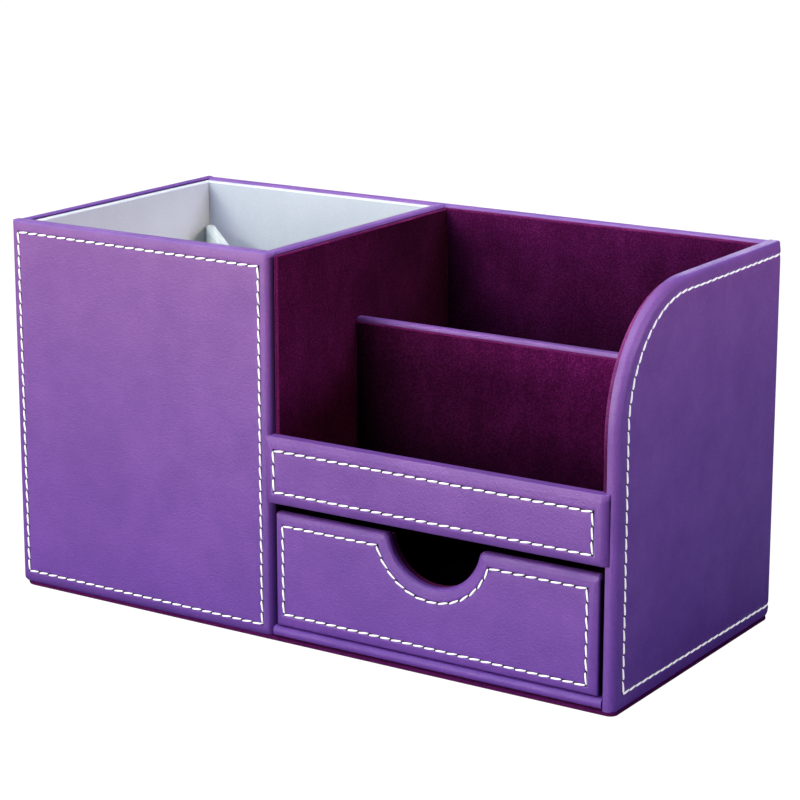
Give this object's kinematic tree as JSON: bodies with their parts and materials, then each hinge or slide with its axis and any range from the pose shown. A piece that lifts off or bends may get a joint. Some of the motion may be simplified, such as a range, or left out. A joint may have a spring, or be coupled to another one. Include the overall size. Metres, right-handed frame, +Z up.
{
  "type": "desk storage box",
  "caption": "Leather-wrapped desk organiser with a divided square pen pot, an open bay behind a stitched rail, a rounded side panel and a drawer with a half-round finger notch.",
  "frame": {"origin": "on the surface that the box stands on, under the middle of its bounding box", "axes": "+X to the right along the front, -Y towards the user in front of the drawer, +Z up"},
  "size_m": [0.25, 0.118, 0.138],
  "materials": {
    "purple_leather": "fine-grained artificial leather, satin, with white topstitching",
    "plum_velvet": "short plum velvet on card",
    "pale_velour": "short pale grey velour on card",
    "plum_felt": "thin plum felt",
    "fibreboard": "bare fibreboard, hidden",
    "covered_board": "fibreboard in matt plum paper"
  },
  "bodies": {
    "case": {"base_board": "fibreboard", "back_board": "covered_board", "left_side_board": "fibreboard", "right_side_board": "covered_board", "pot_front_board": "fibreboard", "partition_board": "covered_board", "shelf_board": "covered_board", "rail_board": "fibreboard", "divider_board": "fibreboard", "pot_front_lining": "pale_velour", "pot_back_lining": "pale_velour", "pot_left_lining": "pale_velour", "pot_right_lining": "pale_velour", "pot_floor_lining": "pale_velour", "pot_divider": "pale_velour", "partition_lining": "plum_velvet", "back_lining": "plum_velvet", "right_side_lining": "plum_velvet", "rail_lining": "plum_velvet", "front_floor_lining": "plum_velvet", "rear_floor_lining": "plum_velvet", "divider_front_lining": "plum_velvet", "divider_rear_lining": "plum_velvet", "outer_wrap": "purple_leather", "pot_front_cover": "purple_leather", "partition_cap": "purple_leather", "rail_cover": "purple_leather", "divider_cap": "purple_leather", "base_front_strip": "purple_leather", "base_felt": "plum_felt", "drawer_bay_liner": "plum_felt"},
    "drawer": {"drawer_front_board": "fibreboard", "drawer_front_cover": "purple_leather", "drawer_left_side": "covered_board", "drawer_right_side": "covered_board", "drawer_back": "covered_board", "drawer_bottom": "covered_board", "drawer_front_lining": "plum_velvet", "drawer_floor_lining": "plum_velvet", "drawer_back_lining": "plum_velvet", "drawer_left_lining": "plum_velvet", "drawer_right_lining": "plum_velvet"}
  },
  "joints": [
    {"name": "drawer_slide", "type": "slide", "parent": "case", "child": "drawer", "axis": [0, -1, 0], "range_m": [0, 0.085]}
  ]
}
